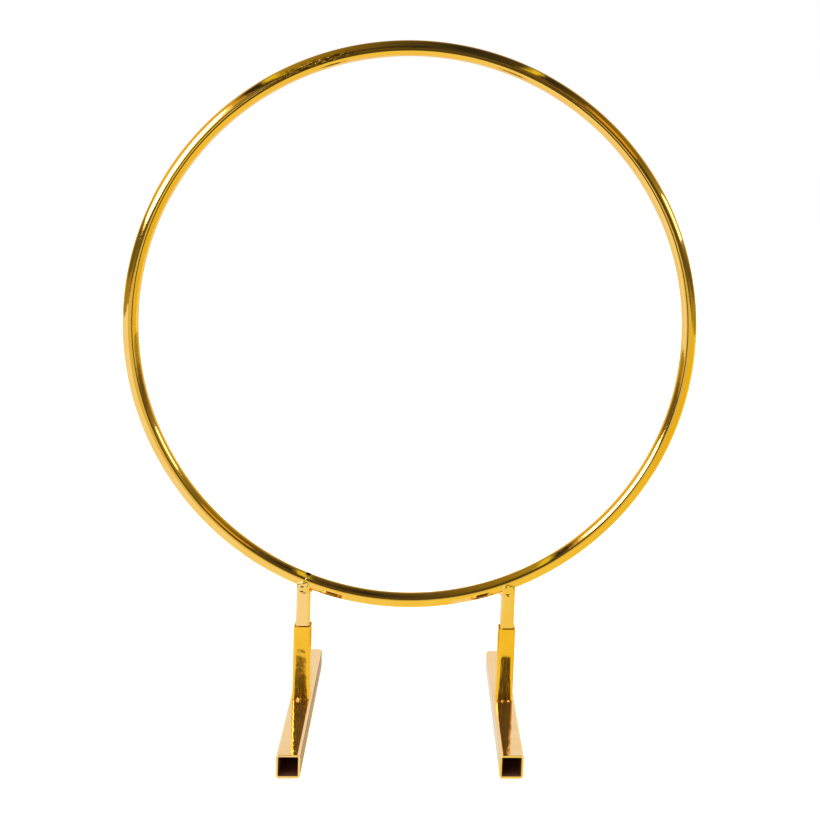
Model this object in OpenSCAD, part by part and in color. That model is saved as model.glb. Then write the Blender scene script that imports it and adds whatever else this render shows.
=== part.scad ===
// Wreath frame: a welded tube hoop on two legs that plug into a pair of socketed feet.
// Millimetres, +Z up, +Y to the back. The origin is on the table, midway between the feet.

/* [Hoop] */
// Outside diameter of the hoop
hoop_od = 406; // [300:1:420]
// Diameter of the round tube
hoop_tube_d = 11; // [10.5:0.5:12]
// Height of the hoop's centre above the table
hoop_centre_z = 288; // [288:1:360]
// Wall of the round tube
hoop_wall = 1; // [0.8:0.1:1.5]

/* [Legs] */
// Distance between the two legs, centre to centre
leg_spacing = 148; // [110:1:180]
// Side of the square leg tube
leg_side = 10; // [9:0.1:10.4]
// Wall of the leg tube
leg_wall = 1; // [0.8:0.1:1.5]

/* [Sockets] */
// Side of the square socket tube
socket_side = 12.7; // [12.5:0.1:12.8]
// Wall of the socket tube
socket_wall = 1; // [0.8:0.1:1]
// Height of the socket above the foot
socket_h = 55; // [30:1:60]

/* [Feet] */
// Side of the square foot tube
foot_side = 16; // [16:0.5:18]
// Wall of the foot tube
foot_wall = 1.5; // [1:0.1:2]
// Length of each foot, front to back
foot_len = 200; // [140:1:260]

/* [Hidden] */
$fn = 128;

// Segments round the hoop in a preview: enough that the fitted parts meet it closely
hoop_fn = 360;

hoop_r = (hoop_od - hoop_tube_d) / 2;
tube_r = hoop_tube_d / 2;
leg_x = leg_spacing / 2;

// Outer corner radii of the square tubes
leg_corner = 1.6;
socket_corner = 1.8;
foot_corner = 2;

// The hoop's centreline above a leg, and how far round from straight down that is
leg_angle = asin(leg_x / hoop_r);
leg_top_z = hoop_centre_z - hoop_r * cos(leg_angle);

// The butt joint sits a little inboard of the left leg; its ends stand this far apart
seam_gap = 0.4;
seam_inboard = 1.2;
seam_angle = asin((leg_x - seam_inboard) / hoop_r);
seam_hole_r = 1.6;

// Gold plating on every piece
module gold() {
    color([0.86, 0.62, 0.2]) children();
}

// A square with rounded corners, centred
module round_square(side, corner) {
    flat = side - 2 * corner;
    square([side, flat], center = true);
    square([flat, side], center = true);
    for (x = [-1, 1], y = [-1, 1]) {
        translate([x * flat / 2, y * flat / 2]) circle(r = corner);
    }
}

// The section of a square tube
module square_tube_section(side, corner, wall) {
    difference() {
        round_square(side, corner);
        round_square(side - 2 * wall, max(corner - wall, 0.3));
    }
}

// The hoop as a solid ring, used to cut whatever is fitted against it
module hoop_solid() {
    translate([0, 0, hoop_centre_z])
        rotate([90, 0, 0])
        rotate_extrude($fn = hoop_fn)
        translate([hoop_r, 0]) circle(r = tube_r);
}

// Moves children to the seam: local +Z runs along the tube, local +X points away from the centre
module at_seam() {
    translate([0, 0, hoop_centre_z])
        rotate([0, 90 + seam_angle, 0])
        translate([hoop_r, 0, 0])
        children();
}

// Tube bent round until its ends meet; a small hole is left on the inside of the seam
module hoop_tube() {
    gap_angle = 2 * asin(seam_gap / 2 / hoop_r);
    gold()
    difference() {
        translate([0, 0, hoop_centre_z])
            rotate([90, 0, 0])
            rotate([0, 0, -90 - seam_angle + gap_angle / 2])
            rotate_extrude(angle = 360 - gap_angle, $fn = hoop_fn)
            translate([hoop_r, 0])
            difference() {
                circle(r = tube_r);
                circle(r = tube_r - hoop_wall);
            }
        at_seam()
            rotate([0, -90, 0])
            cylinder(r = seam_hole_r, h = tube_r + 2);
    }
}

// Low beads over the front and back of the seam, from beside the small hole to just above the leg
module hoop_closing_weld() {
    bead_r = 0.8;
    bead_proud = 0.4;
    start_angle = asin((seam_hole_r + bead_r) / tube_r);
    end_angle = 98;
    gold()
    at_seam()
        for (side = [0, 1])
        mirror([0, side, 0])
        rotate([0, 0, 180 + start_angle])
        rotate_extrude(angle = end_angle - start_angle)
        translate([tube_r, 0])
        intersection() {
            translate([bead_proud - bead_r, 0]) circle(r = bead_r);
            translate([0, -bead_r]) square(2 * bead_r);
        }
}

// A leg with its top coped to the hoop; it stands on the foot inside the socket
module leg(x) {
    gold()
    difference() {
        translate([x, 0, foot_side])
            linear_extrude(height = leg_top_z - foot_side)
            square_tube_section(leg_side, leg_corner, leg_wall);
        hoop_solid();
    }
}

module left_leg() {
    leg(-leg_x);
}

module right_leg() {
    leg(leg_x);
}

// Low round nugget on the leg's front face and a fillet in the inboard corner; side is -1 or 1
module leg_weld(side) {
    nugget_r = leg_side * 0.46;
    nugget_h = 0.9;
    dome_r = (nugget_r * nugget_r + nugget_h * nugget_h) / (2 * nugget_h);
    fillet_x = side * (leg_x - leg_side / 2);
    fillet_z = hoop_centre_z - sqrt(hoop_r * hoop_r - fillet_x * fillet_x) - tube_r;
    gold()
    difference() {
        union() {
            translate([side * leg_x, -leg_side / 2, leg_top_z - tube_r + 0.6])
            intersection() {
                translate([0, dome_r - nugget_h, 0]) sphere(r = dome_r);
                rotate([90, 0, 0])
                    translate([0, 0, -2.5])
                    cylinder(r = nugget_r, h = 6);
            }
            translate([fillet_x, -1.2, fillet_z - 0.4]) sphere(r = 2.6);
            translate([fillet_x, -3.2, fillet_z - 0.4]) sphere(r = 2.2);
        }
        hoop_solid();
        translate([side * leg_x, 0, 0])
            linear_extrude(height = leg_top_z)
            round_square(leg_side, leg_corner);
    }
}

module left_leg_weld() {
    leg_weld(-1);
}

module right_leg_weld() {
    leg_weld(1);
}

// A socket open at the top, standing on its foot
module socket(x) {
    gold()
    translate([x, 0, foot_side])
        linear_extrude(height = socket_h)
        square_tube_section(socket_side, socket_corner, socket_wall);
}

module left_socket() {
    socket(-leg_x);
}

module right_socket() {
    socket(leg_x);
}

// Bead along the front base of a socket with nuggets at the given offsets: [offset, radius]
module socket_weld(x, nuggets) {
    bead_r = 0.7;
    gold()
    difference() {
        translate([x, -socket_side / 2, foot_side])
        union() {
            rotate([0, 90, 0])
                cylinder(r = bead_r, h = socket_side - socket_corner, center = true);
            for (n = nuggets) {
                translate([n[0], -0.2, 0.2]) sphere(r = n[1]);
            }
        }
        translate([x, 0, foot_side])
            linear_extrude(height = socket_h)
            round_square(socket_side, socket_corner);
        foot_solid(x);
    }
}

module left_socket_weld() {
    socket_weld(-leg_x, [[-1.2, 1.8]]);
}

module right_socket_weld() {
    socket_weld(leg_x, [[-5.2, 1.1], [-0.8, 1.4], [3.4, 1.3]]);
}

// The outside of a foot as a solid bar
module foot_solid(x) {
    translate([x, foot_len / 2, foot_side / 2])
        rotate([90, 0, 0])
        linear_extrude(height = foot_len)
        round_square(foot_side, foot_corner);
}

// A foot, open at both ends
module foot(x) {
    gold()
    translate([x, foot_len / 2, foot_side / 2])
        rotate([90, 0, 0])
        linear_extrude(height = foot_len)
        square_tube_section(foot_side, foot_corner, foot_wall);
}

module left_foot() {
    foot(-leg_x);
}

module right_foot() {
    foot(leg_x);
}

hoop_tube();
hoop_closing_weld();
left_leg();
right_leg();
left_leg_weld();
right_leg_weld();
left_socket();
right_socket();
left_socket_weld();
right_socket_weld();
left_foot();
right_foot();
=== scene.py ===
import math

import bpy
import numpy as np
from mathutils import Matrix, Vector, noise


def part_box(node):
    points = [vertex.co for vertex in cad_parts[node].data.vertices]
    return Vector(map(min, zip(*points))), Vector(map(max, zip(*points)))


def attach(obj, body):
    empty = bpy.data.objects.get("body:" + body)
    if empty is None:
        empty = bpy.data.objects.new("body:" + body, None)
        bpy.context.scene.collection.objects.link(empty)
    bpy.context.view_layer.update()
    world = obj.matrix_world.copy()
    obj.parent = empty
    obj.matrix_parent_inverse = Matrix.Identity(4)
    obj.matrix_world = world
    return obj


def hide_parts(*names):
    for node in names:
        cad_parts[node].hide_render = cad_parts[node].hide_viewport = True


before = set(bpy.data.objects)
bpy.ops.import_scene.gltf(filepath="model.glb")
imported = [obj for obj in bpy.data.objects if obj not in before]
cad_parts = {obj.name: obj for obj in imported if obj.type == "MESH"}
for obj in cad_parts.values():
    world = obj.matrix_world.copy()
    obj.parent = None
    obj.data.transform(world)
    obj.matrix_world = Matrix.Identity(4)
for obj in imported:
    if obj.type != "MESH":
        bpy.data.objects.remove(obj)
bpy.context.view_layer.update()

MM = 0.001
HOOP_BODY, LEFT_BODY, RIGHT_BODY = "hoop_unit", "left_foot_unit", "right_foot_unit"
SIDES = ((-1, "left", LEFT_BODY), (1, "right", RIGHT_BODY))

# ---------------------------------------------------------------- sizes, read from the CAD frame
hoop_lo, hoop_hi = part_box("hoop_tube")
leg_lo, leg_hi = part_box("right_leg")
socket_lo, socket_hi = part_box("right_socket")
foot_lo, foot_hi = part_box("right_foot")
TUBE_R = (hoop_hi.y - hoop_lo.y) / 2
HOOP_R = (hoop_hi.x - hoop_lo.x) / 2 - TUBE_R
HOOP_Z = (hoop_lo.z + hoop_hi.z) / 2
LEG_X = (leg_lo.x + leg_hi.x) / 2
LEG_SIDE = leg_hi.x - leg_lo.x
SOCKET_SIDE = socket_hi.x - socket_lo.x
SOCKET_TOP = socket_hi.z
FOOT_SIDE = foot_hi.x - foot_lo.x
FOOT_HALF = foot_hi.y

# The CAD's own figures for what no box shows
LEG_CORNER, SOCKET_CORNER, FOOT_CORNER = 1.6 * MM, 1.8 * MM, 2 * MM
THIN_WALL, FOOT_WALL = 1 * MM, 1.5 * MM
SEAM_INBOARD = 1.2 * MM
SEAM_THETA = -math.pi / 2 - math.asin((LEG_X - SEAM_INBOARD) / HOOP_R)
SEAM_HOLE_R = 1.6 * MM


# ---------------------------------------------------------------- mesh helpers
def new_object(name, mesh):
    obj = bpy.data.objects.new(name, mesh)
    bpy.context.scene.collection.objects.link(obj)
    return obj


def grid_object(name, points, normals=None, wrap_u=False, wrap_v=False, uv=None, flip=False):
    """A mesh from a (rows, columns, 3) array of points, with its own normals where given."""
    nu, nv = points.shape[:2]
    index = np.arange(nu * nv).reshape(nu, nv)
    rows = np.arange(nu if wrap_u else nu - 1)
    cols = np.arange(nv if wrap_v else nv - 1)
    r, c = np.meshgrid(rows, cols, indexing="ij")
    r1, c1 = (r + 1) % nu, (c + 1) % nv
    quads = np.stack([index[r, c], index[r1, c], index[r1, c1], index[r, c1]], -1).reshape(-1, 4)
    if flip:
        quads = quads[:, ::-1]
    mesh = bpy.data.meshes.new(name)
    mesh.from_pydata(points.reshape(-1, 3).tolist(), [], quads.tolist())
    mesh.update()
    mesh.polygons.foreach_set("use_smooth", [True] * len(mesh.polygons))
    if uv is not None:
        corners = np.stack([uv[r, c], uv[r + 1, c], uv[r + 1, c + 1], uv[r, c + 1]], 2)
        layer = mesh.uv_layers.new(name="length")
        layer.data.foreach_set("uv", corners.reshape(-1).astype(np.float32))
    if normals is not None:
        mesh.normals_split_custom_set_from_vertices(normals.reshape(-1, 3).tolist())
    return new_object(name, mesh)


def face_outward(obj, inside_point):
    """Turns the faces over if they look towards the inside point that belongs to each of them."""
    mesh = obj.data
    sample = list(mesh.polygons)[:: max(1, len(mesh.polygons) // 200)]
    if sum(poly.normal.dot(poly.center - inside_point(poly.center)) for poly in sample) < 0:
        mesh.flip_normals()


def merged(name, objects):
    """One object from several, keeping their normals."""
    for o in bpy.context.selected_objects:
        o.select_set(False)
    for o in objects:
        o.select_set(True)
    bpy.context.view_layer.objects.active = objects[0]
    bpy.ops.object.join()
    joined = bpy.context.view_layer.objects.active
    joined.name = joined.data.name = name
    joined.select_set(False)
    return joined


def put(obj, node, body, materials=()):
    """Gives a piece its materials and body, and lets it stand for its CAD node."""
    for m in materials:
        obj.data.materials.append(m)
    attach(obj, body)
    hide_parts(node)


# ---------------------------------------------------------------- material helpers
def opaque(colour):
    """A colour with its alpha; another node's output is passed on as it is."""
    return (*colour, 1) if isinstance(colour, tuple) else colour


class Graph:
    """The nodes of one material or world. Where a method takes a value, it takes a node's output too."""

    def __init__(self, owner):
        owner.use_nodes = True
        self.nodes, self.links = owner.node_tree.nodes, owner.node_tree.links

    def feed(self, socket, value):
        if isinstance(value, bpy.types.NodeSocket):
            self.links.new(value, socket)
        else:
            socket.default_value = value

    def add(self, kind, **values):
        """A new node with its properties and inputs; an underscore in an input's name stands for a space."""
        node = self.nodes.new(kind)
        for key, value in values.items():
            if hasattr(node, key):
                setattr(node, key, value)
            else:
                self.feed(node.inputs[key.replace("_", " ")], value)
        return node

    def coordinates(self):
        return self.add("ShaderNodeTexCoord").outputs

    def split(self, vector):
        return self.add("ShaderNodeSeparateXYZ", Vector=vector).outputs

    def mapped(self, vector, **values):
        return self.add("ShaderNodeMapping", Vector=vector, **values).outputs["Vector"]

    def noise(self, vector, scale, detail, roughness=0.5):
        node = self.add("ShaderNodeTexNoise", Vector=vector, Scale=scale, Detail=detail, Roughness=roughness)
        return node.outputs["Fac"]

    def remap(self, value, low, high, to_low=0.0, to_high=1.0, smooth=False):
        node = self.add("ShaderNodeMapRange", Value=value,
                        From_Min=low, From_Max=high, To_Min=to_low, To_Max=to_high)
        if smooth:
            node.interpolation_type = "SMOOTHSTEP"
        return node.outputs["Result"]

    def maths(self, operation, *values):
        node = self.add("ShaderNodeMath", operation=operation)
        for socket, value in zip(node.inputs, values):
            self.feed(socket, value)
        return node.outputs["Value"]

    def mix(self, factor, a, b):
        node = self.add("ShaderNodeMix", data_type="RGBA", Factor=factor, A=opaque(a), B=opaque(b))
        return node.outputs["Result"]

    def bump(self, height, distance, under=None, strength=1.0):
        """A bump over the one under it; distance is in millimetres."""
        node = self.add("ShaderNodeBump", Strength=strength, Distance=distance * MM, Height=height)
        if under is not None:
            self.feed(node.inputs["Normal"], under)
        return node.outputs["Normal"]

    def ramp(self, value, stops):
        """A colour ramp; stops gives (position, colour), the first at 0 and the last at 1."""
        node = self.add("ShaderNodeValToRGB", Fac=value)
        elements = node.color_ramp.elements
        for element, (position, colour) in zip(elements, (stops[0], stops[-1])):
            element.position = position
            element.color = opaque(colour)
        for position, colour in stops[1:-1]:
            elements.new(position).color = opaque(colour)
        return node.outputs["Color"]

    def patch(self, vector, sides):
        """1 in the middle of a soft-edged rectangle, 0 outside; each side is (axis, middle, half-length)."""
        parts = self.split(vector)
        shares = []
        for axis, middle, half in sides:
            distance = self.maths("ABSOLUTE", self.maths("SUBTRACT", parts[axis], middle))
            shares.append(self.remap(distance, half, half / 2))
        return self.maths("MULTIPLY", *shares)


def new_material(name):
    mat = bpy.data.materials.new(name)
    graph = Graph(mat)
    return mat, graph, graph.nodes["Principled BSDF"].inputs


def glow(name, colour, strength=1.0):
    mat = bpy.data.materials.new(name)
    graph = Graph(mat)
    graph.nodes.clear()
    emission = graph.add("ShaderNodeEmission", Color=opaque(colour), Strength=strength)
    graph.add("ShaderNodeOutputMaterial", Surface=emission.outputs["Emission"])
    return mat, graph, emission.inputs


# ---------------------------------------------------------------- materials
# Noise scales are in cycles per metre; the marks and streaks are noise drawn out along one direction
MARKS_TURN = 0.7
MARKS_ON_HOOP, MARKS_ON_FLATS = (90, 1300, 1300), (1100, 1100, 60)
MARKS_DULLING = 0.09
SCUFF_TURN, SCUFF_SCALE = 0.5, (2600, 900, 130)
# Streaks of the painted reflection on the faces that look left or right
SIDE_REFLECTION_STREAKS = (400, 14, 400)
WORN_SPECKS = (260, 900, 1)
WORN_DENT = 0.07
WORN_STAIN = (0.16, 0.10, 0.03)


def plated(name, colour, deep, roughness, wave, streak, pits=0.0, scuffs=0.0, metallic=1.0, along_uv=False,
           worn=None, painted_side_reflection=None):
    """Mirror-bright plating whose tone drifts from colour to deep, with slow waves and fine slanting
    polishing marks. wave, streak and pits are bump heights in millimetres. Where along_uv is set, the
    marks follow the tube. worn places a scuffed patch on the hoop. The last argument paints a reflection:
    the faces that look left or right get, as their edge tint, the colour they should mirror at a low angle."""
    mat, graph, shader = new_material(name)
    shader["Metallic"].default_value = metallic
    coord = graph.coordinates()
    drift = graph.remap(graph.noise(coord["Object"], 38.0, 2.0), 0.35, 0.7)
    base = graph.mix(drift, colour, deep)

    turned = graph.mapped(coord["UV" if along_uv else "Object"], Rotation=(0, 0, MARKS_TURN))
    stretched = graph.mapped(turned, Scale=MARKS_ON_HOOP if along_uv else MARKS_ON_FLATS)
    marks = graph.noise(stretched, 1.0, 3.0, roughness=0.6)
    dulling = graph.remap(marks, 0.3, 0.75, roughness, roughness + MARKS_DULLING)
    if scuffs:
        # Short fine scratches
        across = graph.mapped(coord["Object"], Rotation=(0, SCUFF_TURN, 0), Scale=SCUFF_SCALE)
        scratches = graph.remap(graph.noise(across, 1.0, 1.0), 0.60, 0.66, 0.0, scuffs)
        dulling = graph.maths("ADD", dulling, scratches)
    graph.feed(shader["Roughness"], dulling)

    normal = graph.bump(graph.noise(coord["Object"], 150.0, 1.5), wave)
    normal = graph.bump(marks, streak, normal)
    if pits:
        cells = graph.add("ShaderNodeTexVoronoi", Vector=coord["Object"], Scale=260.0, Randomness=1.0)
        dots = graph.remap(cells.outputs["Distance"], 0.0, 0.16, smooth=True)
        normal = graph.bump(dots, pits, normal)
    if worn:
        # Raised specks with dull brown ones between them
        along, half_along, round_tube, half_round = worn
        here = graph.patch(coord["UV"], (("X", along, half_along), ("Y", round_tube, half_round)))
        specks = graph.noise(graph.mapped(coord["UV"], Scale=WORN_SPECKS), 1.0, 3.0, roughness=0.6)
        raised = graph.maths("MULTIPLY", here, graph.remap(specks, 0.57, 0.70))
        normal = graph.bump(raised, WORN_DENT, normal)
        stained = graph.maths("MULTIPLY", here, graph.remap(specks, 0.53, 0.45, 0.0, 0.85))
        base = graph.mix(stained, base, WORN_STAIN)
    if painted_side_reflection:
        # Painted reflection: in long streaks, the edge tint of each such face is set to what it should mirror
        # at a low angle
        facing = graph.split(graph.add("ShaderNodeNewGeometry").outputs["Normal"])
        sideways = graph.remap(graph.maths("ABSOLUTE", facing["X"]), 0.75, 0.98)
        streaks = graph.noise(graph.mapped(coord["Object"], Scale=SIDE_REFLECTION_STREAKS), 1.0, 2.0)
        amount = graph.remap(streaks, 0.35, 0.62, 0.78, 1.0)
        edge = graph.mix(graph.maths("MULTIPLY", amount, sideways), (1, 1, 1), painted_side_reflection)
        graph.feed(shader["Specular Tint"], edge)
    graph.feed(shader["Base Color"], base)
    graph.feed(shader["Normal"], normal)
    return mat


def bare_inside(name, dark, light):
    """The unplated inside of a tube: rough, slightly rusty steel. With near-black colours it is the painted
    shade in the seam's small hole.
    """
    mat, graph, shader = new_material(name)
    shader["Metallic"].default_value = 0.8
    shader["Roughness"].default_value = 0.5
    grime = graph.noise(graph.coordinates()["Object"], 320.0, 4.0)
    graph.feed(shader["Base Color"], graph.mix(grime, dark, light))
    graph.feed(shader["Normal"], graph.bump(grime, 0.05, strength=0.6))
    return mat


# The scuffed patch's middle and half-length along the hoop from its right, then round the tube
WORN_PATCH = (0.386, 0.036, 0.0425, 0.0026)
hoop_gold = plated("hoop_gold", (0.93, 0.62, 0.20), (0.92, 0.58, 0.16),
                   roughness=0.02, wave=0.03, streak=0.007, along_uv=True, worn=WORN_PATCH)
leg_gold = plated("leg_gold", (0.94, 0.67, 0.38), (0.93, 0.62, 0.29),
                  roughness=0.06, wave=0.03, streak=0.006)
socket_gold = {
    "left": plated("clouded_gold", (0.95, 0.58, 0.08), (0.92, 0.52, 0.05), roughness=0.08, wave=0.24,
                   streak=0.008, pits=0.006, scuffs=0.14, metallic=0.955),
    "right": plated("clear_gold", (0.95, 0.58, 0.09), (0.92, 0.53, 0.06), roughness=0.02, wave=0.04,
                    streak=0.005, pits=0.006, scuffs=0.16, metallic=0.955),
}
# Painted reflection on each foot's side faces: dark red-brown painted shade on the left foot, pale pinkish
# grey on the right
foot_gold = {
    label: plated(f"{label}_foot_gold", (0.93, 0.68, 0.38), (0.92, 0.63, 0.30),
                  roughness=0.03, wave=0.10, streak=0.004, metallic=0.98, painted_side_reflection=painted_side_reflection)
    for label, painted_side_reflection in (("left", (0.22, 0.02, 0.01)), ("right", (0.77, 0.66, 0.60)))
}
weld_gold = plated("weld_gold", (0.93, 0.65, 0.30), (0.90, 0.58, 0.18),
                   roughness=0.08, wave=0.06, streak=0.01)
# Near-black brown in and round the pits of the leg nuggets: painted shade
painted_pit_shade = plated("painted_pit_shade", (0.10, 0.06, 0.03), (0.03, 0.02, 0.015),
                    roughness=0.3, wave=0.1, streak=0.01)
weld_brown = plated("weld_brown", (0.93, 0.60, 0.20), (0.62, 0.32, 0.08),
                    roughness=0.06, wave=0.1, streak=0.01)
nugget_gold = plated("nugget_gold", (0.93, 0.62, 0.26), (0.80, 0.45, 0.12),
                     roughness=0.05, wave=0.1, streak=0.01)
inside = bare_inside("bare_inside", (0.30, 0.12, 0.09), (0.55, 0.28, 0.20))
# Near-black for the seam's small hole: painted shade
hole_shade = bare_inside("hole_painted_shade", (0.006, 0.005, 0.004), (0.02, 0.014, 0.01))


# ---------------------------------------------------------------- hoop
# The hoop's mesh is finer within this distance of the seam, and on the tube's inner side, between these
# angles, where the small hole is
FINE_REACH, FINE_STEP, COARSE_STEPS = 4, 0.2, 860
INNER_FROM, INNER_TO, INNER_STEP, OUTER_STEPS = 152, 208, 2.0, 56

# The small hole in the seam: its stretch along the hoop and round the tube, its shift, edge and depth
HOLE_STRETCH = (1.15, 1.5)
HOLE_SHIFT, HOLE_EDGE, HOLE_DEPTH = 1.1 * MM, 0.35 * MM, 3.2 * MM
SEAM_HALF_WIDTH, SEAM_DEPTH = 0.3 * MM, 0.012 * MM


def hoop_points():
    """Points of the hoop by angle round it (0 is +X, up is positive) and round its tube (0 is outward),
    with the depth of the small hole at each as a share, and the length coordinates of its grid."""
    fine = np.arange(-FINE_REACH, FINE_REACH + 0.01, FINE_STEP) * MM / HOOP_R
    coarse = np.linspace(FINE_REACH * MM / HOOP_R, 2 * math.pi - FINE_REACH * MM / HOOP_R, COARSE_STEPS)
    theta = SEAM_THETA + np.concatenate([fine, coarse[1:-1]])
    inner = np.radians(np.arange(INNER_FROM, INNER_TO + 0.1, INNER_STEP))
    outer = np.radians(np.linspace(INNER_TO, INNER_FROM + 360, OUTER_STEPS))
    phi = np.concatenate([inner, outer[1:-1]])

    out = np.stack([np.cos(theta), np.zeros_like(theta), np.sin(theta)], -1)
    centre = np.array([0, 0, HOOP_Z]) + out * HOOP_R
    normal = out[:, None, :] * np.cos(phi)[None, :, None]
    normal = normal + np.array([0, -1, 0]) * np.sin(phi)[None, :, None]
    along = (theta - SEAM_THETA)[:, None] * HOOP_R
    across = (phi - math.pi)[None, :] * TUBE_R
    hole = np.hypot(along / HOLE_STRETCH[0], (across + HOLE_SHIFT) / HOLE_STRETCH[1])
    depth = np.clip((SEAM_HOLE_R - hole) / HOLE_EDGE, 0, 1)
    seam = np.exp(-(along / SEAM_HALF_WIDTH) ** 2) * SEAM_DEPTH
    radius = TUBE_R - depth * HOLE_DEPTH - seam

    uv = np.zeros((len(theta) + 1, len(phi) + 1, 2))
    uv[..., 0] = (np.append(theta, theta[0] + 2 * math.pi) * HOOP_R)[:, None]
    uv[..., 1] = (np.append(phi, phi[0] + 2 * math.pi) * TUBE_R)[None, :]
    return centre[:, None, :] + normal * radius[:, :, None], depth, uv


def nearest_on_ring(p):
    """The point of the hoop's centreline nearest to p."""
    flat = Vector((p.x, 0, p.z - HOOP_Z)).normalized() * HOOP_R
    return Vector((flat.x, 0, flat.z + HOOP_Z))


ring_points, hole_depth, ring_uv = hoop_points()
hoop = grid_object("hoop_tube_ring", ring_points, wrap_u=True, wrap_v=True, uv=ring_uv)
# The faces down in the small hole take the near-black second material: painted shade
hoop.data.polygons.foreach_set("material_index", (hole_depth > 0.02).astype(int).reshape(-1).tolist())
face_outward(hoop, nearest_on_ring)
put(hoop, "hoop_tube", HOOP_BODY, [hoop_gold, hole_shade])

# Where round the tube each seam bead starts, in radians from the inner side, and where both end
SEAM_BEAD_STARTS = {1: 0.68, -1: math.asin((SEAM_HOLE_R + 0.8 * MM) / TUBE_R)}
SEAM_BEAD_END = math.radians(98)
# Over how many radians a bead's lumps fade out, and over how many it tapers at its start and its end
LUMPS_FADE, START_TAPER, END_TAPER = 0.55, 0.05, 0.12
# In millimetres: a bead's half-width and height where it is ground, and its extra half-width, its mean
# height and its two sizes of lumps, each with the noise's frequency, where it is not
GROUND_HALF_WIDTH, LUMPY_EXTRA = 0.45, 0.35
GROUND_HEIGHT, GROUND_WAVE = 0.05, (0.03, 0.9)
LUMPY_HEIGHT, LUMPY_WAVES = 0.08, ((0.22, 1.7), (0.16, 3.4))


def seam_bead(side):
    """One of the two low beads over the seam: lumpy beside the small hole, then ground nearly flat."""
    first = SEAM_BEAD_STARTS[side]
    rows = []
    for turn in np.linspace(first, SEAM_BEAD_END, 150):
        phi = math.pi - side * turn
        lumpy = math.exp(-((turn - first) / LUMPS_FADE) ** 2)
        ends = min(1.0, (SEAM_BEAD_END - turn) / END_TAPER, (turn - first) / START_TAPER)
        half_width = (GROUND_HALF_WIDTH + LUMPY_EXTRA * lumpy) * MM
        row = []
        for across in np.linspace(-1, 1, 17):
            here = Vector((math.cos(phi) * TUBE_R, math.sin(phi) * TUBE_R, across * half_width)) / MM
            rough = LUMPY_HEIGHT + sum(height * noise.noise(here * rate) for height, rate in LUMPY_WAVES)
            ground = GROUND_HEIGHT + GROUND_WAVE[0] * noise.noise(here * GROUND_WAVE[1])
            high = (ground + lumpy * max(rough, 0.0)) * (1 - across * across) ** 0.7 * ends
            # The rim lies just under the tube's surface
            sunk = 0.03 if abs(across) > 0.99 or ends <= 0 else 0.0
            theta = SEAM_THETA + across * half_width / HOOP_R
            out = Vector((math.cos(theta), 0, math.sin(theta)))
            normal = out * math.cos(phi) + Vector((0, -1, 0)) * math.sin(phi)
            row.append(Vector((0, 0, HOOP_Z)) + out * HOOP_R + normal * (TUBE_R + (high - sunk) * MM))
        rows.append(row)
    bead = grid_object("seam_bead", np.array(rows))
    face_outward(bead, nearest_on_ring)
    return bead


seam_beads = merged("hoop_closing_weld_bead", [seam_bead(1), seam_bead(-1)])
put(seam_beads, "hoop_closing_weld", HOOP_BODY, [weld_gold])


# ---------------------------------------------------------------- square tubes
CORNER_STEPS, FLAT_STEPS = 8, 16
# Angles over each rounded edge of a tube's end
EDGE_ANGLES = (0, 30, 60, 90)


def tube_section(side, corner, crown, bend):
    """Points round a square tube: for each its arc's centre, its direction and the heading of its normal.
    A face is crowned by crown degrees each way, and rolls away by bend degrees more close to its corners."""
    centres, dirs, headings = [], [], []
    half = side / 2 - corner
    corners = ((1, 1), (-1, 1), (-1, -1), (1, -1))
    for k, (sx, sy) in enumerate(corners):
        nx, ny = corners[(k + 1) % 4]
        for i in range(CORNER_STEPS + 1):
            share = i / CORNER_STEPS
            a = math.radians(90 * (k + share))
            centres.append((sx * half, sy * half))
            dirs.append((math.cos(a), math.sin(a)))
            headings.append(90 * k + crown + bend + (90 - 2 * (crown + bend)) * share)
        a = math.radians(90 * (k + 1))
        for j in range(1, FLAT_STEPS):
            share = j / FLAT_STEPS
            across = 2 * share - 1
            centres.append(((sx + (nx - sx) * share) * half, (sy + (ny - sy) * share) * half))
            dirs.append((math.cos(a), math.sin(a)))
            headings.append(90 * (k + 1) + crown * across + bend * across ** 7)
    return np.array(centres), np.array(dirs), np.array(headings)


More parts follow.
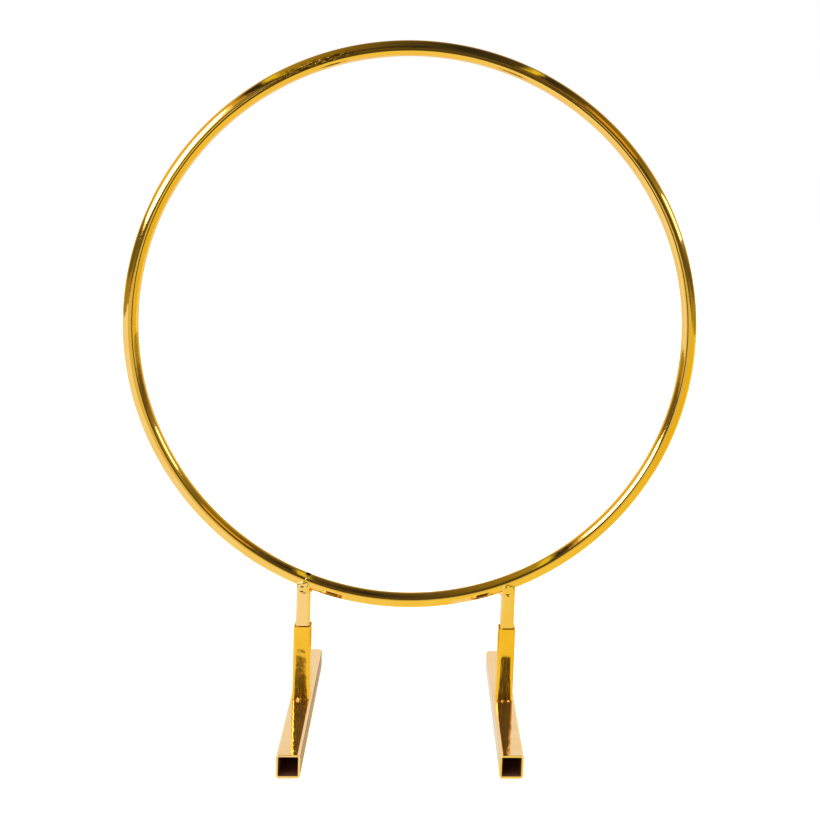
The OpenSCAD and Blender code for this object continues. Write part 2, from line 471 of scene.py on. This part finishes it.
def square_tube(name, side, corner, wall, start, top, place, lip, crown=0.0, bend=0.0, yaw=0.0):
    """A square tube along local Z with its wall closed over at both ends; place maps local points to the
    frame. top is a height, or gives one for each point of a coped end. lip is the radius of the end's
    edges. crown and bend are as in tube_section, and yaw turns all the normals by a few degrees."""
    centres, dirs, headings = tube_section(side, corner, crown, bend)
    n = len(centres)
    inner = max(corner - wall, 0.3 * MM)
    skin_out = centres + dirs * corner
    skin_in = centres * ((side / 2 - wall - inner) / (side / 2 - corner)) + dirs * inner
    top_out, top_in = (top(skin) if callable(top) else top for skin in (skin_out, skin_in))
    facing = np.radians(headings + yaw)
    sideways = np.column_stack([np.cos(facing), np.sin(facing), np.zeros(n)])

    # Up over the outer top edge, down the inside, and back under the bottom edges
    points, normals = [], []
    for is_inside, height, up, angles in (
        (False, top_out, 1, EDGE_ANGLES), (True, top_in, 1, EDGE_ANGLES[::-1]),
        (True, start, -1, EDGE_ANGLES), (False, start, -1, EDGE_ANGLES[::-1]),
    ):
        for angle in angles:
            c, s = math.cos(math.radians(angle)), math.sin(math.radians(angle))
            share = lip / wall * (1 - c)
            if is_inside:
                share, c = 1 - share, -c
            xy = skin_out * (1 - share) + skin_in * share
            z = np.broadcast_to(height - up * lip * (1 - s), (n,))
            points.append(np.column_stack([xy, z]))
            normals.append(sideways * c + np.array([0, 0, up * s]))
    points, normals = np.array(points), np.array(normals)
    normals = normals / np.linalg.norm(normals, axis=-1, keepdims=True)
    world = place(points)
    world_normals = place(points + normals) - world

    # The first face is on the outside, and has to look away from the tube's axis
    obj = grid_object(name, world, world_normals, True, True)
    first = obj.data.polygons[0]
    on_axis, further = (place(np.array([0, 0, z])) for z in (0.0, 1.0))
    away = np.array(first.center) - on_axis
    away = away - (further - on_axis) * np.dot(away, further - on_axis)
    if np.dot(np.array(first.normal), away) < 0:
        bpy.data.objects.remove(obj)
        obj = grid_object(name, world, world_normals, True, True, flip=True)
    # The second material is for the inner wall, between the two inner edges
    bands = np.zeros((len(points), n), int)
    bands[2 * len(EDGE_ANGLES) - 1] = 1
    obj.data.polygons.foreach_set("material_index", bands.reshape(-1).tolist())
    return obj


def upright(x):
    """Stands a tube up at x."""
    return lambda p: p + np.array([x, 0, 0])


def lying(x):
    """Lays a tube down at x: local Z runs along +Y and local Y is down."""
    return lambda p: np.stack([p[..., 0] + x, p[..., 2], FOOT_SIDE / 2 - p[..., 1]], -1)


def coped_top(side):
    """Height at which a leg's wall meets the underside of the hoop, a little lower at the front outboard
    corner, where a small gap is left."""
    overlap, gap, gap_reach = 0.02 * MM, 0.8 * MM, 1.3 * MM

    def top(xy):
        x, y = xy[:, 0] + side * LEG_X, xy[:, 1]
        reach = HOOP_R + np.sqrt(np.maximum(TUBE_R ** 2 - y ** 2, 0))
        z = HOOP_Z - np.sqrt(reach ** 2 - x ** 2)
        corner = np.hypot(xy[:, 0] - side * LEG_SIDE / 2, xy[:, 1] + LEG_SIDE / 2)
        return z + overlap - gap * np.exp(-(corner / gap_reach) ** 2)

    return top


# How far each socket looks round from straight ahead, in degrees
SOCKET_YAW = {"left": 3.3, "right": -2.2}
for side, label, body in SIDES:
    x = side * LEG_X
    leg = square_tube(f"{label}_leg_tube", LEG_SIDE, LEG_CORNER, THIN_WALL, FOOT_SIDE, coped_top(side),
                      upright(x), lip=0.05 * MM, bend=5.0)
    put(leg, f"{label}_leg", HOOP_BODY, [leg_gold, inside])
    socket = square_tube(f"{label}_socket_tube", SOCKET_SIDE, SOCKET_CORNER, THIN_WALL, FOOT_SIDE, SOCKET_TOP,
                         upright(x), lip=0.18 * MM, crown=0.8, bend=3.0, yaw=SOCKET_YAW[label])
    put(socket, f"{label}_socket", body, [socket_gold[label]] * 2)
    foot = square_tube(f"{label}_foot_tube", FOOT_SIDE, FOOT_CORNER, FOOT_WALL, -FOOT_HALF, FOOT_HALF,
                       lying(x), lip=0.25 * MM, bend=3.0)
    put(foot, f"{label}_foot", body, [foot_gold[label], inside])


# ---------------------------------------------------------------- welds
# A leg's nugget: its radius, its height, its ripples as (height, width, seed) and its grid; heights and
# widths are in millimetres
NUGGET_REACH, NUGGET_HEIGHT = 4.8 * MM, 0.5
NUGGET_RIPPLES = ((0.05, 1.8, 5.0), (0.03, 0.7, 2.0))
NUGGET_RINGS, NUGGET_SPOKES = 64, 150
NUGGET_Z = HOOP_Z - math.sqrt(HOOP_R ** 2 - LEG_X ** 2) - TUBE_R + 0.6 * MM
# Pits in each leg's nugget, painted dark as shade, in millimetres from its middle: x, z, half-width,
# half-height, depth
PITS = {
    "left": ((-3.2, 2.6, 0.75, 0.6, 0.5), (-0.9, 0.7, 1.0, 0.45, 0.5), (-1.2, -2.7, 1.1, 0.4, 0.45),
             (2.9, 1.2, 0.45, 0.4, 0.35), (-4.4, 1.2, 0.4, 0.8, 0.4), (0.4, 3.1, 0.9, 0.3, 0.3)),
    "right": ((-0.6, -2.9, 1.3, 0.28, 0.3), (-1.8, 2.4, 0.7, 0.3, 0.3), (4.3, 1.6, 0.35, 0.7, 0.4),
              (1.2, 3.2, 0.8, 0.25, 0.25)),
}
# In pit radii: how far out a pit's rim stands, the rim's width, and how far the painted shade round a pit
# reaches
PIT_RIM, RIM_WIDTH, PIT_SHADE_REACH = 1.5, 0.4, 1.15
RIM_HEIGHT = 0.05

FILLET_SIZE = (2.3, 3.3, 2.1)
# Nuggets along each socket's base, in millimetres: offset from the middle, radius, how far forward
NUGGETS = {
    "left": ((-1.2, 1.9, 0.2),),
    "right": ((-5.2, 0.9, -0.3), (-0.8, 1.15, 0.0), (3.4, 0.95, 0.0)),
}
# How far a nugget reaches into the socket's wall, and how far below its middle, in millimetres
INTO_SOCKET, INTO_FOOT = 0.5, 0.85
# Half the length of the bead at a socket's base
BASE_BEAD_HALF = 6.3 * MM


def lump(name, middle, size, seed, coarse, fine, rings, spokes, material, pole_along_y=False, walls=None):
    """A closed lumpy ball of the given half-sizes in millimetres. walls keeps it within two distances of
    its middle, towards the back and downwards."""
    rows = []
    for lat in np.linspace(0.02, math.pi - 0.02, rings):
        row = []
        for lon in np.linspace(0, 2 * math.pi, spokes, endpoint=False):
            d = Vector((math.sin(lat) * math.cos(lon), math.sin(lat) * math.sin(lon), math.cos(lat)))
            if pole_along_y:
                d = d.xzy
            swell = 1 + 0.12 * noise.noise(d * coarse + seed) + 0.05 * noise.noise(d * fine)
            p = Vector((d.x * size[0], d.y * size[1], d.z * size[2])) * swell
            if walls:
                back, under = walls
                fit = min(1.0, back / p.y if p.y > 0 else 1.0, under / -p.z if p.z < 0 else 1.0)
                p = p * fit
            row.append(middle + p * MM)
        rows.append(row)
    ball = grid_object(name, np.array(rows), wrap_v=True)
    ball.data.materials.append(material)
    face_outward(ball, lambda p: middle)
    return ball


def nugget_disc(side, label):
    """The round rippled nugget over the front of the joint of leg and hoop."""
    rows, scale = [], []
    for rho in np.linspace(0, 1, NUGGET_RINGS):
        row = []
        for a in np.linspace(0, 2 * math.pi, NUGGET_SPOKES, endpoint=False):
            wobble = 1 + 0.06 * noise.noise(Vector((math.cos(a) * 1.3, math.sin(a) * 1.3, 3.0 * side)))
            dx = rho * NUGGET_REACH * wobble * math.cos(a)
            dz = rho * NUGGET_REACH * wobble * math.sin(a)
            x, z = side * LEG_X + dx, NUGGET_Z + dz
            # The surface it lies on: the leg's front or the hoop's, whichever stands further forward
            from_ring = abs(math.hypot(x, z - HOOP_Z) - HOOP_R)
            on_hoop = math.sqrt(max(TUBE_R ** 2 - from_ring ** 2, 0))
            round_corner = max(0.0, abs(dx) - (LEG_SIDE / 2 - LEG_CORNER))
            on_leg = LEG_SIDE / 2 - round_corner ** 2 / (2 * LEG_CORNER)
            high = NUGGET_HEIGHT * (1 - rho ** 6)
            for height, width, seed in NUGGET_RIPPLES:
                high += height * noise.noise(Vector((dx, dz, seed + side)) / (width * MM))
            in_pit_shade = False
            for px, pz, wide, tall, deep in PITS[label]:
                away = math.hypot((dx / MM - px) / wide, (dz / MM - pz) / tall)
                high += RIM_HEIGHT * math.exp(-((away - PIT_RIM) / RIM_WIDTH) ** 2)
                high -= deep * max(0.0, 1 - away ** 3)
                # Faces within this reach of a pit get painted shade
                in_pit_shade = in_pit_shade or away < PIT_SHADE_REACH
            # The nugget's edge comes down to the metal and just under it
            high = high * min(1.0, (1 - rho) * 12) - (0.08 if rho > 0.99 else 0)
            scale.append(1 if in_pit_shade and rho > 0 else 0)
            row.append((x, -max(on_leg, on_hoop) - high * MM, z))
        rows.append(row)
    disc = grid_object(f"{label}_nugget", np.array(rows), wrap_v=True)
    # The faces in and round the pits take the second material, painted shade
    for m in (weld_gold, painted_pit_shade):
        disc.data.materials.append(m)
    disc.data.polygons.foreach_set("material_index", scale[:len(disc.data.polygons)])
    face_outward(disc, lambda p: Vector((p.x, 0, p.z)))
    return disc


def leg_weld_metal(side, label):
    """The nugget and the fillet in the inboard corner of leg and hoop."""
    corner_x = side * (LEG_X - LEG_SIDE / 2)
    corner_z = HOOP_Z - math.sqrt((HOOP_R + TUBE_R) ** 2 - corner_x ** 2)
    middle = Vector((corner_x + side * 0.7 * MM, -1.6 * MM, corner_z + 0.4 * MM))
    fillet = lump(f"{label}_fillet", middle, FILLET_SIZE, Vector((side, 0, 4)), 2.2, 6.0, 30, 48, weld_gold,
                  pole_along_y=True)
    return merged(f"{label}_leg_weld_metal", [nugget_disc(side, label), fillet])


def base_bead(side, label):
    """A thin lumpy bead along the front base of a socket, turning in at the corners."""
    # The line where the socket's front meets the foot; the bead's middle lies just inside it
    x0, y0, z0 = side * LEG_X, -SOCKET_SIDE / 2, FOOT_SIDE
    sunk = 0.1 * MM
    rows = []
    for dx in np.linspace(-BASE_BEAD_HALF, BASE_BEAD_HALF, 130):
        row = []
        turn_in = max(0.0, abs(dx) - (SOCKET_SIDE / 2 - SOCKET_CORNER))
        back = SOCKET_CORNER - math.sqrt(max(SOCKET_CORNER ** 2 - turn_in ** 2, 0))
        drop = max(0.0, abs(dx) - (FOOT_SIDE / 2 - FOOT_CORNER))
        low = FOOT_CORNER - math.sqrt(max(FOOT_CORNER ** 2 - drop ** 2, 0))
        ends = min(1.0, (BASE_BEAD_HALF - abs(dx)) / (0.6 * MM))
        for a in np.linspace(math.radians(-20), math.radians(110), 14):
            thick = 0.55 + 0.18 * noise.noise(Vector((dx / MM * 0.9, a, side * 3.0)))
            thick += 0.10 * noise.noise(Vector((dx / MM * 2.6, a * 2, side * 7.0)))
            thick *= (0.25 + 0.75 * ends) * MM
            y, z = y0 + back + sunk - math.cos(a) * thick, z0 - low - sunk + math.sin(a) * thick
            row.append((x0 + dx, y, z))
        rows.append(row)
    bead = grid_object(f"{label}_bead", np.array(rows))
    face_outward(bead, lambda p: Vector((p.x, y0 + 0.2 * MM, z0 - 0.2 * MM)))
    bead.data.materials.append(weld_brown)
    return bead


def socket_weld_metal(side, label):
    """The bead at a socket's base and the rounder nuggets in it."""
    parts = [base_bead(side, label)]
    for k, (offset, radius, forward) in enumerate(NUGGETS[label]):
        middle = Vector((side * LEG_X + offset * MM, -SOCKET_SIDE / 2 - forward * MM, FOOT_SIDE + 0.05 * MM))
        parts.append(lump(f"{label}_ball{k}", middle, (radius,) * 3, Vector((k, side, 1)), 2.0, 5.0, 26, 44,
                          nugget_gold, walls=(INTO_SOCKET + forward, INTO_FOOT)))
    return merged(f"{label}_socket_weld_metal", parts)


for side, label, body in SIDES:
    put(leg_weld_metal(side, label), f"{label}_leg_weld", HOOP_BODY)
    put(socket_weld_metal(side, label), f"{label}_socket_weld", body)


# ---------------------------------------------------------------- floor and what the plating mirrors
def stage_faces(name, verts, faces, material):
    """A plain mesh in the room, not part of the object."""
    mesh = bpy.data.meshes.new(name)
    mesh.from_pydata(verts, [], faces)
    obj = new_object(name, mesh)
    obj.data.materials.append(material)
    return obj


def plane(name, x0, x1, y0, y1, z, material):
    verts = [(x0, y0, z), (x1, y0, z), (x1, y1, z), (x0, y1, z)]
    return stage_faces(name, verts, [(0, 1, 2, 3)], material)


def only_reflected(obj):
    """Seen in the plating but not by the camera, and it lights nothing else."""
    obj.visible_camera = False
    obj.visible_diffuse = False
    obj.visible_shadow = False


floor_mat, _, floor_shader = new_material("pale_floor")
floor_shader["Base Color"].default_value = (0.92, 0.92, 0.92, 1)
floor_shader["Roughness"].default_value = 0.9
floor_shader["Specular IOR Level"].default_value = 0.0
floor_shader["Emission Color"].default_value = (1, 1, 1, 1)
floor_shader["Emission Strength"].default_value = 0.4
floor = plane("pale_floor", -12, 12, -12, 12, -0.4 * MM, floor_mat)
floor.visible_glossy = False

# The table as the plating mirrors it: white to the left, warmer and a little dimmer to the right as painted
# warm light from that side, paler behind the hoop, and with a paler strip on the inner side of the right
# foot, a painted patch of light for that foot's side to mirror
table_mat, graph, emission = glow("table_top", (1, 1, 1))
coord = graph.coordinates()
place = graph.split(coord["Object"])
front_half = graph.ramp(graph.remap(place["X"], -0.35, 0.5), [
    (0.0, (1.0, 1.0, 0.95)), (0.3, (1.0, 0.95, 0.62)), (0.42, (0.98, 0.89, 0.27)),
    (0.75, (0.94, 0.80, 0.12)), (1.0, (0.88, 0.71, 0.02))])
whole = graph.mix(graph.remap(place["Y"], 0.0, 0.3), front_half, (0.97, 0.92, 0.82))
# A painted patch of light beside the right foot
painted_light_strip = (("X", LEG_X - FOOT_SIDE, FOOT_SIDE), ("Y", 0.02, FOOT_HALF * 1.4))
beside_foot = graph.patch(coord["Object"], painted_light_strip)
graph.feed(emission["Color"], graph.mix(beside_foot, whole, (1.0, 0.97, 0.92)))
only_reflected(plane("table_top", -3.2, 3.2, -2.9, 1.6, -0.2 * MM, table_mat))


def seen_at(azimuth, elevation, distance):
    """A point in a direction from the hoop's centre: azimuth 0 is towards the front, + is to the right."""
    a, e = math.radians(azimuth), math.radians(elevation)
    out = Vector((math.sin(a) * math.cos(e), -math.cos(a) * math.cos(e), math.sin(e)))
    return Vector((0, 0, HOOP_Z)) + out * distance


# Cards in the room: the (azimuth, elevation) of points along the upper edge and along the lower one, the
# colour, the strength and the distance. Something dark stands close in front of the frame, above the
# table, and the table is turned up a little along its front edge.
CARDS = {
    "softbox_left": ([(-67, 41), (-47, 34), (-31, 22)], [(-67, 14), (-47, 9), (-31, 8)],
                     (1, 1, 1), 8.0, 1.2),
    "softbox_spill": ([(-84, 44), (-50, 37), (-18, 13)], [(-84, 16), (-50, 8), (-18, 4)],
                      (1, 0.84, 0.50), 1.15, 1.6),
    "window_right": ([(60, 22), (76, 26), (92, 25)], [(60, 13), (76, 15), (92, 16)],
                     (1, 0.97, 0.92), 3.0, 1.5),
    "warm_wall_right": ([(22, 19), (34, 33), (46, 42)], [(24, 13), (36, 21), (48, 27)],
                        (0.85, 0.52, 0.06), 0.9, 1.5),
    "dark_front": ([(-16, 22), (0, 22), (16, 22)], [(-6, -19), (0, -19), (6, -19)],
                   (0.10, 0.08, 0.035), 1.0, 0.42),
    "table_edge": ([(-40, -2.2), (-20, -2.7), (20, -2.7), (40, -2.2)],
                   [(-40, -16), (-20, -19), (20, -19), (40, -16)],
                   (0.92, 0.80, 0.30), 0.85, 0.85),
}
for name, (upper, lower, colour, strength, distance) in CARDS.items():
    n = len(upper)
    verts = [seen_at(azimuth, elevation, distance) for azimuth, elevation in upper + lower]
    card_mat, _, _ = glow(name, colour, strength)
    card = stage_faces(name, verts, [(i, i + 1, n + i + 1, n + i) for i in range(n - 1)], card_mat)
    only_reflected(card)

sun_data = bpy.data.lights.new("overhead_soft", "SUN")
sun_data.energy = 3.4
sun_data.angle = math.radians(60)
sun = new_object("overhead_soft", sun_data)
sun.visible_glossy = False

# The room is a tunnel along Y: its colour goes by the angle round that axis, 0 to the right and 1 to
# the left, and by how far forward or back a direction points
world = bpy.data.worlds.new("studio")
bpy.context.scene.world = world
graph = Graph(world)
graph.nodes.clear()
direction = graph.split(graph.coordinates()["Generated"])
angle_round = graph.maths("DIVIDE", graph.maths("ARCTAN2", direction["Z"], direction["X"]), math.pi)
BLACK, BROWN, YELLOW = (0.03, 0.028, 0.026), (0.075, 0.062, 0.034), (0.85, 0.78, 0.07)
sides = graph.ramp(angle_round, [
    (0.0, (0.40, 0.32, 0.05)), (0.02, (0.16, 0.12, 0.05)), (0.045, (0.14, 0.11, 0.05)),
    (0.075, (0.28, 0.23, 0.07)), (0.105, (0.42, 0.35, 0.10)), (0.14, (0.34, 0.28, 0.06)),
    (0.18, (0.20, 0.17, 0.04)), (0.23, (0.26, 0.21, 0.03)), (0.28, (0.13, 0.10, 0.04)),
    (0.335, BLACK), (0.347, BLACK), (0.352, YELLOW), (0.362, YELLOW), (0.372, BROWN),
    (0.45, BLACK), (0.54, (0.11, 0.09, 0.035)), (0.62, (0.27, 0.21, 0.03)), (0.68, (0.40, 0.31, 0.03)),
    (0.69, YELLOW), (0.70, YELLOW), (0.708, BLACK), (0.73, BLACK), (0.75, (0.72, 0.50, 0.08)),
    (0.80, (0.84, 0.57, 0.10)), (0.87, (0.84, 0.59, 0.12)), (0.905, (0.36, 0.30, 0.05)),
    (0.93, (0.15, 0.13, 0.04)), (0.982, (0.15, 0.13, 0.04)), (1.0, (0.45, 0.32, 0.06))])
front = graph.ramp(angle_round, [
    (0.0, (0.13, 0.11, 0.04)), (0.07, BLACK), (0.15, BLACK), (0.2, (0.40, 0.22, 0.03)),
    (0.26, (0.34, 0.22, 0.03)), (0.3, BLACK), (0.32, BLACK), (0.335, (0.45, 0.33, 0.02)), (0.35, BLACK),
    (0.42, (0.04, 0.04, 0.035)), (0.47, BROWN), (0.5, BLACK), (0.58, BROWN), (0.64, BLACK),
    (0.68, (0.25, 0.19, 0.03)), (0.70, (0.6, 0.45, 0.02)), (0.715, BLACK), (0.76, BROWN),
    (0.8, (0.5, 0.40, 0.18)), (0.9, (0.42, 0.33, 0.14)), (0.93, (0.15, 0.13, 0.045)),
    (1.0, (0.17, 0.15, 0.05))])
back = graph.ramp(angle_round, [
    (0.0, (0.80, 0.70, 0.30)), (0.06, (0.90, 0.78, 0.42)), (0.12, (0.80, 0.64, 0.16)),
    (0.2, (0.60, 0.43, 0.03)), (0.3, (0.45, 0.33, 0.03)), (0.37, (0.20, 0.16, 0.06)),
    (0.6, (0.26, 0.20, 0.08)), (0.7, (0.45, 0.34, 0.08)), (0.75, (0.80, 0.56, 0.12)),
    (0.9, (0.95, 0.78, 0.30)), (1.0, (0.90, 0.72, 0.30))])
FAR_END = (0.95, 0.90, 0.80)
room = graph.mix(graph.remap(direction["Y"], -0.74, -0.95, smooth=True), sides, front)
room = graph.mix(graph.remap(direction["Y"], 0.10, 0.62, smooth=True), room, back)
room = graph.mix(graph.remap(direction["Y"], 0.72, 0.93, smooth=True), room, FAR_END)
# The camera itself sees plain white
seen_by_camera = graph.add("ShaderNodeLightPath").outputs["Is Camera Ray"]
background = graph.add("ShaderNodeBackground", Color=graph.mix(seen_by_camera, room, (1.0, 1.0, 1.0)))
graph.add("ShaderNodeOutputWorld", Surface=background.outputs["Background"])

# ---------------------------------------------------------------- camera
CAMERA_AT = (0.0003, -0.9667, 0.4052)
YAW, PITCH, ROLL = math.radians(5.907), math.radians(7.235), math.radians(2.679)
camera_data = bpy.data.cameras.new("camera")
camera_data.sensor_width = 36
camera_data.lens = 59.76
camera_data.shift_x, camera_data.shift_y = -0.1771, -0.0799
camera_data.clip_start, camera_data.clip_end = 0.01, 50
camera = new_object("camera", camera_data)
turn = (Matrix.Rotation(-YAW, 4, "Z") @ Matrix.Rotation(math.pi / 2 - PITCH, 4, "X")
        @ Matrix.Rotation(ROLL, 4, "Z"))
camera.matrix_world = Matrix.Translation(CAMERA_AT) @ turn
scene = bpy.context.scene
scene.camera = camera
scene.view_settings.view_transform = "Standard"
scene.view_settings.look = "None"
scene.cycles.max_bounces = 16
scene.cycles.glossy_bounces = 12
